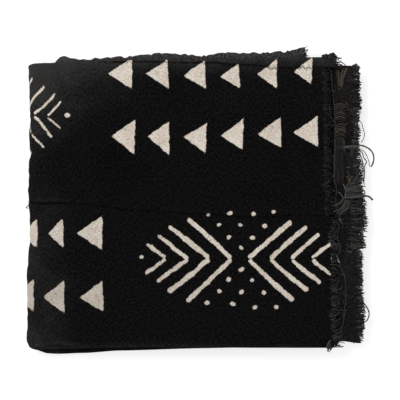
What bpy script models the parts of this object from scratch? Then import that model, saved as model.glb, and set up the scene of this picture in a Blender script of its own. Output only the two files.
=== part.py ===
# Folded mud cloth: six handwoven strips sewn side by side, folded lengthwise into a band
# three layers deep, then in half and in half again along its length, with both frayed raw
# ends at the right. Metres, +Z up, the pile rests on the plane z = 0.
import math
import random
from collections import namedtuple

import bmesh
import bpy

# Cloth
STRIP_WIDTH = 0.152
STRIP_COUNT = 6
THICKNESS = 0.0015
PIECE_GAP = 0.0003

# Pile
LAYER_PITCH = 0.0022         # from the middle of one layer to the next
BAND_LAYERS = 3              # layers of the band before it is folded along its length
PILE_WIDTH = 0.3042          # over the two side folds, along Y
INNER_SELVAGE_Y = -0.142     # how far the first strip's selvage reaches inside the low fold
TOP_END_X = 0.1365           # woven end of the top run
LEFT_FOLD_X = -0.1666        # centre of the outer left fold
RIGHT_FOLD_X = 0.1397        # centre of the right fold
INNER_FOLD_X = -0.1645       # centre of the inner left fold
UNDER_END_X = 0.1630         # woven end of the run beneath the top one

# Fringe
BACKING = 0.0045             # woven strip that holds the strands' roots
TIP_SHARE = 0.42             # a strand's width at its tip over that at its root
STRAND_SWAY = 0.0014
LENGTH_SPREAD = 0.35         # how far a strand's length may differ from the mean
MID_ALONG = 0.55             # where a strand bends

# Faces
RUN_STEPS = 8                # along each straight run
OUTER_TURN_STEPS = 7
INNER_TURN_STEPS = 5
FLAT_STEP = 0.032            # across the band
TOP_FOLD_STEPS = 4
LOW_FOLD_STEPS = 5
HALVINGS = 40                # that find a place across the band

# How the band lies, by distance along the cloth from the top raw end: its drift to the
# side, the slip of all seams across it, the rise of the middle seam above that (all in
# millimetres) and how far the band is drawn in (per thousand)
Lie = namedtuple("Lie", "along drift slip rise drawn_in")
LIE_ROWS = [Lie(*row) for row in (
    (0, -2.4, -11.8, 0.0, 0),
    (75, -3.8, -9.2, 0.0, 0),
    (137, -4.6, -8.2, 0.0, 0),
    (195, -5.2, -7.6, 0.4, 0),
    (252, -6.0, -6.6, 10.4, 0),
    (306, -8.4, -6.0, 12.6, 0),
    (345, -7.0, -6.0, 12.0, 4),
    (480, -5.0, -6.4, 8.0, 8),
    (650, -3.5, -7.0, 5.0, 10),
    (800, -5.0, -6.4, 6.0, 8),
    (960, -6.5, -6.0, 9.0, 8),
    (1120, -4.5, -6.6, 4.0, 16),
    (1230, -3.2, -7.6, 0.0, 36),
    (1300, -3.0, -8.0, 0.0, 46),
)]

# Where each strip's raw ends stand out (+) or fall short (-) at its upper and lower edge
# as the cloth lies open, in millimetres, the strands of its fringes, and how far they
# curl up, in millimetres
Strip = namedtuple("Strip", "number top_upper top_lower under_upper under_lower "
                            "top_strands under_strands top_lift under_lift")
STRIP_ROWS = [Strip(*row) for row in (
    (1, -6.0, -5.0, -9.0, -8.0, 12, 12, 0.0, 0.0),
    (2, -1.0, -6.0, -4.0, -9.0, 14, 12, 0.0, 0.0),
    (3, -1.0, -2.0, -6.0, -4.0, 18, 12, 1.6, 0.0),
    (4, -2.0, -5.0, -4.0, -5.0, 18, 12, 1.6, 0.0),
    (5, -7.0, -12.0, -2.0, 1.5, 12, 18, 0.0, 1.2),
    (6, -12.0, -26.0, 1.5, -2.0, 14, 18, 0.0, 1.2),
)]
TOP_FRINGE_LENGTH = 0.0085
UNDER_FRINGE_LENGTH = 0.0105
END_FADE = 0.150             # how far from a raw end its slant reaches

# Outline of the left fold, by place across the pile (millimetres), and how far from the
# pile's middle it has its full strength
NOSE_REACH = 0.160
Nose = namedtuple("Nose", "across inward")
NOSE_ROWS = [Nose(*row) for row in (
    (-160, -0.9),
    (-95, 0.1),
    (-25, 1.5),
    (60, 0.6),
    (150, 1.3),
)]

# The pile's height over its nominal one, as two soft swells
SWELL = 0.035
SWELL_LONG = 0.230
SWELL_LONG_TURN = 0.6
SWELL_WIDE = 0.260
SWELL_WIDE_TURN = -0.5
END_DROOP = 0.16             # share of its height that the overhanging end loses
DROOP_FROM_X = 0.132
DROOP_TO_X = 0.185

DYED_BLACK = (0.0052, 0.0048, 0.0046, 1.0)
FRAYED_YARN = (0.0120, 0.0108, 0.0098, 1.0)
CLOTH_ROUGHNESS = 0.93
METALLIC = 0.0
MM = 0.001
COLLECTION_NAME = "folded_mud_cloth"

HALF_PITCH = LAYER_PITCH / 2
TOP_FOLD_Y = PILE_WIDTH / 2 - HALF_PITCH - THICKNESS / 2
LOW_FOLD_Y = -(PILE_WIDTH / 2 - LAYER_PITCH - THICKNESS / 2)
TOP_FOLD_LENGTH = math.pi * HALF_PITCH
LOW_FOLD_LENGTH = math.pi * LAYER_PITCH
FOLD_RIMS = (TOP_FOLD_Y, TOP_FOLD_Y + TOP_FOLD_LENGTH, LOW_FOLD_Y, LOW_FOLD_Y - LOW_FOLD_LENGTH)
FLOOR_LEVEL = THICKNESS / 2


def clear_scene():
    for item in list(bpy.data.objects):
        bpy.data.objects.remove(item, do_unlink=True)


def smooth(share):
    share = min(max(share, 0.0), 1.0)
    return share * share * (3 - 2 * share)


def read_rows(rows, place, column):
    # A soft curve through one column of a table, by its first column
    if place <= rows[0][0]:
        return getattr(rows[0], column)
    for low, high in zip(rows, rows[1:]):
        if place <= high[0]:
            share = smooth((place - low[0]) / (high[0] - low[0]))
            return (1 - share) * getattr(low, column) + share * getattr(high, column)
    return getattr(rows[-1], column)


def run_level(number):
    # Height of a run's middle layer, with the lowest run as number 0
    return FLOOR_LEVEL + LAYER_PITCH * (1 + BAND_LAYERS * number)


def make_route():
    # The band's route in the XZ plane: top run, outer left fold, lowest run, right fold,
    # third run, inner left fold, second run
    top, second, third, lowest = (run_level(number) for number in (3, 2, 1, 0))
    route = []
    along = 0.0

    def add_run(x_from, x_to, level):
        nonlocal along
        length = abs(x_to - x_from)
        route.append(dict(kind="run", start=along, length=length, x=x_from, z=level,
                          heading=math.copysign(1, x_to - x_from), steps=RUN_STEPS))
        along += length

    def add_turn(x, z_from, z_to, side, steps):
        nonlocal along
        radius = abs(z_to - z_from) / 2
        length = math.pi * radius
        route.append(dict(kind="turn", start=along, length=length, x=x, z=(z_from + z_to) / 2,
                          radius=radius, side=side, rise=math.copysign(1, z_to - z_from), steps=steps))
        along += length

    add_run(TOP_END_X, LEFT_FOLD_X, top)
    add_turn(LEFT_FOLD_X, top, lowest, -1, OUTER_TURN_STEPS)
    add_run(LEFT_FOLD_X, RIGHT_FOLD_X, lowest)
    add_turn(RIGHT_FOLD_X, lowest, third, 1, INNER_TURN_STEPS)
    add_run(RIGHT_FOLD_X, INNER_FOLD_X, third)
    add_turn(INNER_FOLD_X, third, second, -1, INNER_TURN_STEPS)
    add_run(INNER_FOLD_X, UNDER_END_X, second)
    return route, along


ROUTE, CLOTH_LENGTH = make_route()


def route_at(along):
    # Place and normal of the band's middle layer; the normal is up on the top run
    piece = ROUTE[0]
    for later in ROUTE[1:]:
        if along > later["start"]:
            piece = later
    gone = along - piece["start"]
    if piece["kind"] == "run":
        heading = piece["heading"]
        return piece["x"] + heading * gone, piece["z"], 0.0, -heading
    angle = gone / piece["radius"]
    out_x = piece["side"] * math.sin(angle)
    out_z = -piece["rise"] * math.cos(angle)
    turns_left = piece["side"] * piece["rise"]
    x = piece["x"] + piece["radius"] * out_x
    z = piece["z"] + piece["radius"] * out_z
    return x, z, turns_left * out_x, turns_left * out_z


def section_at(place):
    # Place and normal across the band: y, height in the band, and the normal's two parts
    if place > TOP_FOLD_Y + TOP_FOLD_LENGTH:
        return TOP_FOLD_Y - (place - TOP_FOLD_Y - TOP_FOLD_LENGTH), 0.0, 0.0, -1.0
    if place > TOP_FOLD_Y:
        angle = (place - TOP_FOLD_Y) / HALF_PITCH
        out_y, out_h = math.sin(angle), math.cos(angle)
        return TOP_FOLD_Y + HALF_PITCH * out_y, HALF_PITCH + HALF_PITCH * out_h, out_y, out_h
    if place >= LOW_FOLD_Y:
        return place, LAYER_PITCH, 0.0, 1.0
    if place > LOW_FOLD_Y - LOW_FOLD_LENGTH:
        angle = (LOW_FOLD_Y - place) / LAYER_PITCH
        out_y, out_h = -math.sin(angle), math.cos(angle)
        return LOW_FOLD_Y + LAYER_PITCH * out_y, LAYER_PITCH * out_h, out_y, out_h
    return LOW_FOLD_Y + (LOW_FOLD_Y - LOW_FOLD_LENGTH - place), -LAYER_PITCH, 0.0, -1.0


def settle(x, y, z):
    # The pile's uneven outline and height; the lowest layer keeps its flat underside
    x += smooth(-x / NOSE_REACH) * MM * read_rows(NOSE_ROWS, y / MM, "inward")
    swell = math.cos(2 * math.pi * x / SWELL_LONG + SWELL_LONG_TURN)
    swell *= math.cos(2 * math.pi * y / SWELL_WIDE + SWELL_WIDE_TURN)
    droop = END_DROOP * smooth((x - DROOP_FROM_X) / (DROOP_TO_X - DROOP_FROM_X))
    above = max(z - THICKNESS, 0.0)
    z += above * (SWELL * swell - droop)
    return x, y, z


def fold_point(along, place, offset, lift=0.0):
    # A point of the pile: distance along the cloth, place across the band's section, and
    # offset from the middle of the thickness
    drift = MM * read_rows(LIE_ROWS, along / MM, "drift")
    drawn_in = 1 - read_rows(LIE_ROWS, along / MM, "drawn_in") / 1000
    y, height, normal_y, normal_h = section_at(place)
    y += normal_y * offset
    height += normal_h * offset
    x, z, normal_x, normal_z = route_at(along)
    x += normal_x * height
    z += normal_z * height
    x, y, z = settle(x, y * drawn_in + drift, z)
    return x, y, z + lift


def seam_place(number, along):
    # Place in the band's section of the seam below a strip; number 0 is the first selvage
    slip = MM * read_rows(LIE_ROWS, along / MM, "slip")
    place = (STRIP_COUNT / 2 - number) * STRIP_WIDTH + slip
    if number == 0:
        return min(place, 2 * TOP_FOLD_Y + TOP_FOLD_LENGTH - INNER_SELVAGE_Y)
    if number == STRIP_COUNT / 2:
        place += MM * read_rows(LIE_ROWS, along / MM, "rise")
    return place


def strip_edges(number, along):
    # Places of a strip's upper and lower edge, short of its seams by half the gap
    return seam_place(number - 1, along) - PIECE_GAP / 2, seam_place(number, along) + PIECE_GAP / 2


def slanted(row, along, place, edges):
    # Distance along the cloth once the slants of the strip's raw ends are in
    share = (edges[0] - place) / (edges[0] - edges[1])
    top_shift = MM * (row.top_upper + share * (row.top_lower - row.top_upper))
    under_shift = MM * (row.under_upper + share * (row.under_lower - row.under_upper))
    top_share = min(max(1 - along / END_FADE, 0.0), 1.0)
    under_share = min(max(1 - (CLOTH_LENGTH - along) / END_FADE, 0.0), 1.0)
    return along - top_share * top_shift + under_share * under_shift


def crowding(place):
    # A measure across the band that runs faster on its two folds
    top_share = min(max((place - TOP_FOLD_Y) / TOP_FOLD_LENGTH, 0.0), 1.0)
    low_share = min(max((place - LOW_FOLD_Y + LOW_FOLD_LENGTH) / LOW_FOLD_LENGTH, 0.0), 1.0)
    return place / FLAT_STEP + TOP_FOLD_STEPS * top_share + LOW_FOLD_STEPS * low_share


def place_crowded(upper, lower, share):
    # The place between two edges at a share of the crowded measure
    goal = crowding(upper) + share * (crowding(lower) - crowding(upper))
    high, low = upper, lower
    for _ in range(HALVINGS):
        middle = (high + low) / 2
        if crowding(middle) > goal:
            high = middle
        else:
            low = middle
    return (high + low) / 2


def places_across(number, along):
    # Where a strip has points across the band, with one on each rim of a fold
    upper, lower = strip_edges(number, along)
    steps = across_steps(number)
    places = [place_crowded(upper, lower, step / steps) for step in range(steps + 1)]
    for rim in FOLD_RIMS:
        if lower < rim < upper:
            nearest = min(range(1, steps), key=lambda step: abs(crowding(places[step]) - crowding(rim)))
            places[nearest] = rim
    return places


def lines_along():
    # Distances along the cloth at which every strip has a row of points
    start = BACKING + PIECE_GAP
    stop = CLOTH_LENGTH - BACKING - PIECE_GAP
    lines = []
    for piece in ROUTE:
        for step in range(piece["steps"]):
            lines.append(piece["start"] + piece["length"] * step / piece["steps"])
    lines = [start] + [line for line in lines if start < line < stop] + [stop]
    return lines


def across_steps(number):
    # The second strip holds the band's top fold, and the fourth its low one
    flat = round(STRIP_WIDTH / FLAT_STEP)
    return flat + {2: TOP_FOLD_STEPS, 4: LOW_FOLD_STEPS}.get(number, 0)


def finish_piece(name, mesh_data, colour, collection):
    mesh = bpy.data.meshes.new(name)
    if mesh_data.calc_volume(signed=True) < 0:
        bmesh.ops.reverse_faces(mesh_data, faces=mesh_data.faces)
    mesh_data.to_mesh(mesh)
    mesh_data.free()
    mesh.shade_smooth()
    piece = bpy.data.objects.new(name, mesh)
    collection.objects.link(piece)
    piece.data.materials.append(cloth_material(name, colour))


def cloth_material(name, colour):
    material = bpy.data.materials.new(name + "_cloth")
    material.use_nodes = True
    shader = material.node_tree.nodes["Principled BSDF"]
    shader.inputs["Base Color"].default_value = colour
    shader.inputs["Roughness"].default_value = CLOTH_ROUGHNESS
    shader.inputs["Metallic"].default_value = METALLIC
    material.diffuse_color = colour
    return material


def thicken_flat(mesh_data):
    # Turns the flat sheet into a slab that is centred on its own plane
    bmesh.ops.solidify(mesh_data, geom=mesh_data.faces[:], thickness=THICKNESS)
    heights = [vert.co.z for vert in mesh_data.verts]
    middle = (max(heights) + min(heights)) / 2
    for vert in mesh_data.verts:
        vert.co.z -= middle
    bmesh.ops.recalc_face_normals(mesh_data, faces=mesh_data.faces)


def make_strip(row, collection):
    # A flat slab on a unit grid, whose points are then laid on the folds
    number = row.number
    lines = lines_along()
    places = [places_across(number, line) for line in lines]
    steps = across_steps(number)
    sheet = bmesh.new()
    bmesh.ops.create_grid(sheet, x_segments=len(lines) - 1, y_segments=steps, size=1.0)
    thicken_flat(sheet)
    for vert in sheet.verts:
        line = round((vert.co.x + 1) / 2 * (len(lines) - 1))
        place = places[line][round((1 - vert.co.y) / 2 * steps)]
        edges = strip_edges(number, lines[line])
        vert.co = fold_point(slanted(row, lines[line], place, edges), place, vert.co.z)
    finish_piece(f"strip_{number}", sheet, DYED_BLACK, collection)


def grow_strand(sheet, edge, reach, sway):
    # A strand from one root edge: two tapering steps, bent to one side
    root = sum(vert.co.y for vert in edge.verts) / 2
    half = abs(edge.verts[0].co.y - root)
    for share in (MID_ALONG, 1.0):
        grown = bmesh.ops.extrude_edge_only(sheet, edges=[edge])["geom"]
        edge = next(item for item in grown if isinstance(item, bmesh.types.BMEdge)
                    and all(vert in grown for vert in item.verts))
        centre = sum(vert.co.y for vert in edge.verts) / 2
        narrow = half * (1 - share * (1 - TIP_SHARE))
        for vert in edge.verts:
            side = math.copysign(1, vert.co.y - centre)
            vert.co.x = reach * share
            vert.co.y = root + sway * share * share + side * narrow


def make_fringe(name, row, at_top, collection):
    # A comb of strands on a narrow backing: flat first, then laid at its raw end
    strands = row.top_strands if at_top else row.under_strands
    lift = MM * (row.top_lift if at_top else row.under_lift)
    mean_length = TOP_FRINGE_LENGTH if at_top else UNDER_FRINGE_LENGTH
    end_along = 0.0 if at_top else CLOTH_LENGTH
    upper, lower = strip_edges(row.number, end_along)
    columns = 2 * strands - 1
    chance = random.Random(name)
    sheet = bmesh.new()
    bmesh.ops.create_grid(sheet, x_segments=1, y_segments=columns, size=1.0)
    for vert in sheet.verts:
        vert.co.x = BACKING * (vert.co.x - 1) / 2
        vert.co.y = (upper + lower) / 2 + vert.co.y * (upper - lower) / 2
    rim = [edge for edge in sheet.edges if all(vert.co.x == 0 for vert in edge.verts)]
    rim.sort(key=lambda edge: edge.verts[0].co.y + edge.verts[1].co.y)
    for turn, edge in enumerate(rim[::2]):
        sway = chance.uniform(-STRAND_SWAY, STRAND_SWAY)
        if turn == 0:
            sway = abs(sway)
        if turn == strands - 1:
            sway = -abs(sway)
        reach = mean_length * chance.uniform(1 - LENGTH_SPREAD, 1 + LENGTH_SPREAD)
        grow_strand(sheet, edge, reach, sway)
    thicken_flat(sheet)
    for vert in sheet.verts:
        out, place = vert.co.x, vert.co.y
        along = slanted(row, end_along + (-out if at_top else out), place, (upper, lower))
        vert.co = fold_point(along, place, vert.co.z, lift * smooth(out / mean_length))
    finish_piece(name, sheet, FRAYED_YARN, collection)


def build():
    clear_scene()
    collection = bpy.data.collections.new(COLLECTION_NAME)
    bpy.context.scene.collection.children.link(collection)
    for row in STRIP_ROWS:
        make_strip(row, collection)
        make_fringe(f"top_fringe_{row.number}", row, True, collection)
        make_fringe(f"under_fringe_{row.number}", row, False, collection)


build()
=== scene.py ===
import math
import random

import bpy
import numpy as np
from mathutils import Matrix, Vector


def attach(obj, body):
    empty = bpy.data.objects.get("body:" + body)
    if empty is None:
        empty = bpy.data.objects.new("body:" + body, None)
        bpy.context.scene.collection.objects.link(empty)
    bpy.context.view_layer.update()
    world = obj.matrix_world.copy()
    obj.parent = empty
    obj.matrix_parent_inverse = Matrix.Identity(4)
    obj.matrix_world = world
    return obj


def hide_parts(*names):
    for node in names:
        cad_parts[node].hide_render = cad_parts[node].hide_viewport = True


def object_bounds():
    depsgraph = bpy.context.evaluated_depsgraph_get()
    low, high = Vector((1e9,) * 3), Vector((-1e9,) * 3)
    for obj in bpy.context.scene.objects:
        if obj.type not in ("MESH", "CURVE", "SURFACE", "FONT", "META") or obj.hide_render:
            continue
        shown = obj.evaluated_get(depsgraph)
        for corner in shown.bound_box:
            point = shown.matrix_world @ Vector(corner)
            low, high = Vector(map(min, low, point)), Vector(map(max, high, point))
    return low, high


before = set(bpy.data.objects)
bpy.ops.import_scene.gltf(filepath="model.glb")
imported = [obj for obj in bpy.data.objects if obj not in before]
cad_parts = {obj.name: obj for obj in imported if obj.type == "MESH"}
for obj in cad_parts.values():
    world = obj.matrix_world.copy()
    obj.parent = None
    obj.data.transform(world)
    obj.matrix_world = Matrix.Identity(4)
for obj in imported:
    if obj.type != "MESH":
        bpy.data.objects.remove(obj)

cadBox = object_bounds()
mm = 0.001

# How the cloth is cut and folded. Metres; the rows below are in millimetres.
pile = dict(
    stripWidth=0.152,
    thickness=0.0015,
    seamGap=0.0003,
    openSeam=0.0008,         # how much wider the middle seam gapes here and there
    layerPitch=0.0022,       # from the middle of one layer to the next
    bandLayers=3,
    width=0.3042,            # over the two side folds
    innerSelvageY=-0.142,
    topEndX=0.1365,
    leftFoldX=-0.1666,
    rightFoldX=0.1397,
    innerFoldX=-0.1645,
    underEndX=0.1630,
    endFade=0.150,           # how far from a raw end its slant reaches
    topRunFade=(0.012, 0.020),   # where the top run fades out before the left fold, and how softly
)

# Rows are (distance along the cloth from the upper raw end, value)
driftRows = [(0, -2.6), (75, -3.4), (137, -4.0), (195, -3.8), (252, -4.35), (303, -5.1), (325, -8.5),
             (334, -12.0), (350, -11.6), (375, -10.8), (417, -8.6), (500, -7.4), (573, -7.2), (650, -5.9),
             (800, -5.0), (960, -6.5), (1120, -4.5), (1230, -3.2), (1280, -3.6), (1300, -4.8)]
drawnInRows = [(0, -4.9), (75, 0.7), (137, 7.1), (195, 8.5), (252, 14.1), (303, 21.9), (330, 12), (350, 4),
               (650, 26), (960, 8), (1120, 16), (1230, 40), (1280, 44), (1300, 37)]
slipRows = [(0, -11.8), (75, -9.2), (137, -8.2), (195, -7.6), (252, -6.6), (306, -6.0), (480, -6.4),
            (650, -7.0), (800, -6.4), (960, -6.0), (1120, -6.6), (1230, -7.6), (1300, -8.0)]

# Places of the second seam, which runs out over the top fold to the left, and heights in Y
# of the middle one, which steps up where the strips were drawn together
upperSeamRows = [(0, 140.5), (60, 141.5), (76, 144.9), (98, 146.1), (125, 149.2), (215, 150.5), (262, 152.3),
                 (310, 155.5), (345, 154.0), (480, 146.0), (650, 145.0), (960, 146.0), (1300, 144.0)]
middleSeamRows = [(0, -17.3), (19, -16.4), (32, -15.9), (47, -16.6), (63, -18.0), (84, -17.8), (103, -17.4),
                  (116, -15.7), (137, -14.8), (152, -14.0), (171, -13.5), (182, -12.2), (192, -11.5),
                  (210, -10.3), (221.5, -9.7), (226, -7.9), (234, -6.7), (245, -5.3), (255, -4.4),
                  (266, -3.8), (281, -3.2), (299, -3.6), (312, -2.4), (345, -2.0), (480, -3.0),
                  (650, -4.0), (800, -3.0), (960, -2.0), (1120, -5.0), (1230, -8.6), (1300, -10.0)]

# How high the last selvage reaches beyond the top fold, along Y
selvageRows = [(0, 161.0), (28, 160.5), (37, 158.6), (47, 156.4), (65, 155.0), (111, 155.2), (124, 152.8),
               (137, 151.7), (157, 153.3), (173, 154.4), (197, 152.8), (220, 150.4), (242, 149.6),
               (252, 148.2), (271, 149.0), (278, 152.0), (283, 149.5), (288, 143.5), (303, 141.0),
               (345, 139.0), (417, 143.0), (500, 145.5), (600, 146.0), (632, 151.0), (656, 151.0),
               (690, 146.0), (900, 142.0), (1000, 141.0), (1150, 144.0), (1250, 143.0), (1300, 140.0)]
selvageRough = dict(size=0.0026, reach=0.0011)

# Where each strip's raw ends stand out or fall short, as (place across the cloth, shift)
stripEnds = {
    1: dict(top=[(300, -9.0), (460, -8.0)], under=[(300, -4.0), (460, -6.0)]),
    2: dict(top=[(130, 7.4), (152, 7.2), (158, -8.0), (310, -9.0)], under=[(140, -1.0), (310, -4.0)]),
    3: dict(top=[(-20, -5.6), (150, -6.8)],
            under=[(-20, 7.5), (4, 7.5), (12, 5.0), (36, 5.0), (52, 2.0), (72, 1.0), (95, 1.0),
                   (104, 2.5), (150, 2.0)]),
    4: dict(top=[(-160, 2.6), (-12, 0.6)],
            under=[(-160, 2.0), (-141, 3.0), (-132, 6.0), (-119, 6.0), (-105, 4.0), (-56, 4.0),
                   (-50.5, 0.0), (-46, 6.5), (0, 8.0)]),
    5: dict(top=[(-310, -8.0), (-150, 1.0)],
            under=[(-310, -4.5), (-257, -4.5), (-252, 2.0), (-242, 4.0), (-140, 3.5)]),
    6: dict(top=[(-460, -26.0), (-300, -10.0)],
            under=[(-470, -1.8), (-379, -1.8), (-368, -3.4), (-326, -3.4), (-305, -4.5), (-290, -4.5)]),
}

# How far out in X the tips of the visible lower end reach, by height in Y
underTipRows = [(-165, 170.0), (-141, 172.0), (-132, 174.4), (-121, 174.8), (-108, 173.0), (-98, 172.0),
                (-58, 171.4), (-54, 171.0), (-51, 167.5), (-46, 174.5), (-20, 176.0), (0, 176.0),
                (8, 172.7), (37, 172.7), (52, 169.0), (63, 169.0), (74, 167.5), (95, 167.8),
                (100, 169.6), (165, 169.6)]

# Outline of the left fold by place across the pile, as (place, inward): a broad part that
# fades towards the pile's middle and a short one at the fold itself
broadNose = dict(reach=0.160, rows=[(-162, 0.6), (-158, -0.6), (-153, -2.4), (-148, -3.4), (-95, -2.6),
                                    (-25, -0.9), (60, -0.5), (150, -1.4)])
fineNose = dict(start=0.145, reach=0.030, rough=0.0006, roughSize=0.0052, rows=[
    (-162, 4.6), (-158, 2.2), (-154, 0.8), (-150, 0.0), (-131, 0.5), (-105, 0.0), (-79, -0.6), (-58, 0.3),
    (-37, 1.0), (-19, 1.0), (-6, -0.6), (10, -1.0), (28, -0.8), (40, -0.4), (48, 1.7), (54, 0.2),
    (73, -0.4), (86, 1.2), (104, 0.2), (142, 0.0)])

# The pile's height over its nominal one
swell = dict(share=0.035, long=0.230, longTurn=0.6, wide=0.260, wideTurn=-0.5)
droop = dict(share=0.16, fromX=0.132, toX=0.185)
ripple = dict(share=0.016, size=0.034, fineShare=0.008, fineSize=0.013, seed=11)
# The low edge at the left, where the top layers end in a wavy lip; waves are (x, shift in y)
lip = dict(share=0.16, y=-0.1525, width=0.006, rightX=0.02, leftX=-0.13, reach=0.014, aboveZ=0.015,
           upperFade=0.004,
           waves=[(-182, 0.0), (-167, -0.6), (-158, 1.4), (-148, 2.4), (-140, 1.2), (-131, -1.2),
                  (-118, -0.8), (-100, 0.2), (-80, 0.0)])


def smooth(share):
    share = np.clip(share, 0.0, 1.0)
    return share * share * (3 - 2 * share)


def softCurve(rows, at):
    # A soft curve through rows of (place, value)
    places, values = np.array(rows, float).T
    at = np.asarray(at, float)
    low = np.clip(np.searchsorted(places, at, side="right") - 1, 0, len(places) - 2)
    share = smooth((at - places[low]) / (places[low + 1] - places[low]))
    return values[low] + share * (values[low + 1] - values[low])


def lumps(x, y, size, seed):
    # Soft seeded lumps between -1 and 1, with one value at each corner of a square grid
    cells = 64
    table = np.random.default_rng(seed).uniform(-1, 1, (cells, cells))
    column, row = x / size, y / size
    left, below = np.floor(column).astype(int), np.floor(row).astype(int)
    acrossShare, upShare = smooth(column - left), smooth(row - below)

    def cornerValue(over, up):
        return table[(below + up) % cells, (left + over) % cells]
    lower = cornerValue(0, 0) * (1 - acrossShare) + cornerValue(1, 0) * acrossShare
    upper = cornerValue(0, 1) * (1 - acrossShare) + cornerValue(1, 1) * acrossShare
    return lower * (1 - upShare) + upper * upShare


def bell(distance, reach):
    # 1 at no distance, falling softly towards nothing
    return np.exp(-(distance / reach) ** 2)


# The band's route: straight runs and half turns in the XZ plane
pitch = pile["layerPitch"]
halfThick = pile["thickness"] / 2
topFoldY = pile["width"] / 2 - pitch / 2 - halfThick
lowFoldY = -(pile["width"] / 2 - pitch - halfThick)
topFoldLength = math.pi * pitch / 2
lowFoldLength = math.pi * pitch


def runLevel(number):
    return halfThick + pitch * (1 + pile["bandLayers"] * number)


def makeRoute():
    route, along = [], 0.0
    for kind, fromX, toX, fromRun, toRun in (
            ("run", pile["topEndX"], pile["leftFoldX"], 3, 3),
            ("turn", pile["leftFoldX"], -1, 3, 0),
            ("run", pile["leftFoldX"], pile["rightFoldX"], 0, 0),
            ("turn", pile["rightFoldX"], 1, 0, 1),
            ("run", pile["rightFoldX"], pile["innerFoldX"], 1, 1),
            ("turn", pile["innerFoldX"], -1, 1, 2),
            ("run", pile["innerFoldX"], pile["underEndX"], 2, 2)):
        levels = runLevel(fromRun), runLevel(toRun)
        if kind == "run":
            length = abs(toX - fromX)
        else:
            length = math.pi * abs(levels[1] - levels[0]) / 2
        route.append(dict(kind=kind, start=along, length=length, x=fromX, toX=toX, levels=levels))
        along += length
    return route, along


route, clothLength = makeRoute()


def routeAt(along):
    # Place and normal of the band's middle layer; the normal is up on the top run
    x, z, normalX, normalZ = (np.zeros_like(along) for _ in range(4))
    for number, part in enumerate(route):
        here = along > part["start"] if number else np.ones(along.shape, bool)
        gone = along[here] - part["start"]
        fromZ, toZ = part["levels"]
        if part["kind"] == "run":
            heading = math.copysign(1, part["toX"] - part["x"])
            x[here], z[here] = part["x"] + heading * gone, fromZ
            normalX[here], normalZ[here] = 0.0, -heading
            continue
        radius, side, rise = abs(toZ - fromZ) / 2, part["toX"], math.copysign(1, toZ - fromZ)
        outX, outZ = side * np.sin(gone / radius), -rise * np.cos(gone / radius)
        x[here], z[here] = part["x"] + radius * outX, (fromZ + toZ) / 2 + radius * outZ
        normalX[here], normalZ[here] = side * rise * outX, side * rise * outZ
    return x, z, normalX, normalZ


def sectionAt(place):
    # Across the band: y, height in the band and the normal's two parts
    topAngle = np.clip((place - topFoldY) / (pitch / 2), 0, math.pi)
    lowAngle = np.clip((lowFoldY - place) / pitch, 0, math.pi)
    angle = np.where(place > 0, topAngle, lowAngle)
    side = np.where(place > 0, 1.0, -1.0)
    radius = np.where(place > 0, pitch / 2, pitch)
    y = np.clip(place, lowFoldY, topFoldY) + side * radius * np.sin(angle)
    y -= np.maximum(place - topFoldY - topFoldLength, 0)
    y += np.maximum(lowFoldY - lowFoldLength - place, 0)
    height = pitch - radius + radius * np.cos(angle)
    return y, height, side * np.sin(angle), np.cos(angle)


def settle(x, y, z):
    # The pile's uneven outline and height; the lowest layer keeps its flat underside
    x = x + smooth(-x / broadNose["reach"]) * mm * softCurve(broadNose["rows"], y / mm)
    atFold = smooth((-x - fineNose["start"]) / fineNose["reach"])
    x = x + atFold * mm * softCurve(fineNose["rows"], y / mm)
    x = x + atFold * fineNose["rough"] * lumps(y, z, fineNose["roughSize"], 12)
    rise = swell["share"] * np.cos(2 * math.pi * x / swell["long"] + swell["longTurn"])
    rise = rise * np.cos(2 * math.pi * y / swell["wide"] + swell["wideTurn"])
    rise = rise + ripple["share"] * lumps(x, y, ripple["size"], ripple["seed"])
    rise = rise + ripple["fineShare"] * lumps(x, y, ripple["fineSize"], ripple["seed"] + 1)
    rise = rise - droop["share"] * smooth((x - droop["fromX"]) / (droop["toX"] - droop["fromX"]))
    leftward = smooth((lip["rightX"] - x) / (lip["rightX"] - lip["leftX"]))
    rise = rise - lip["share"] * smooth((lip["y"] - y) / lip["width"]) * leftward
    upperLayers = smooth((z - lip["aboveZ"]) / lip["upperFade"])
    wave = mm * softCurve(lip["waves"], np.clip(x / mm, lip["waves"][0][0], lip["waves"][-1][0]))
    y = y + wave * upperLayers * smooth((lip["y"] + lip["reach"] - y) / lip["reach"])
    return x, y, z + np.maximum(z - pile["thickness"], 0.0) * rise


def foldPoints(along, place, offset, lift=0.0):
    # Points of the pile: distance along the cloth, place across the band's section, and
    # offset from the middle of the thickness, all arrays
    along, place = np.broadcast_arrays(np.asarray(along, float), np.asarray(place, float))
    y, height, normalY, normalH = sectionAt(place)
    y = y + normalY * offset
    height = height + normalH * offset
    x, z, normalX, normalZ = routeAt(along)
    x, z = x + normalX * height, z + normalZ * height
    x, y, z = settle(x, yAtPlace(along, y), z)
    return np.stack([x, y, z + lift], axis=-1)


def yAtPlace(along, place):
    # Y on the flat of the top layer
    return place * (1 - softCurve(drawnInRows, along / mm) / 1000) + mm * softCurve(driftRows, along / mm)


def placeAtY(along, y):
    return (y - mm * softCurve(driftRows, along / mm)) / (1 - softCurve(drawnInRows, along / mm) / 1000)


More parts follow.
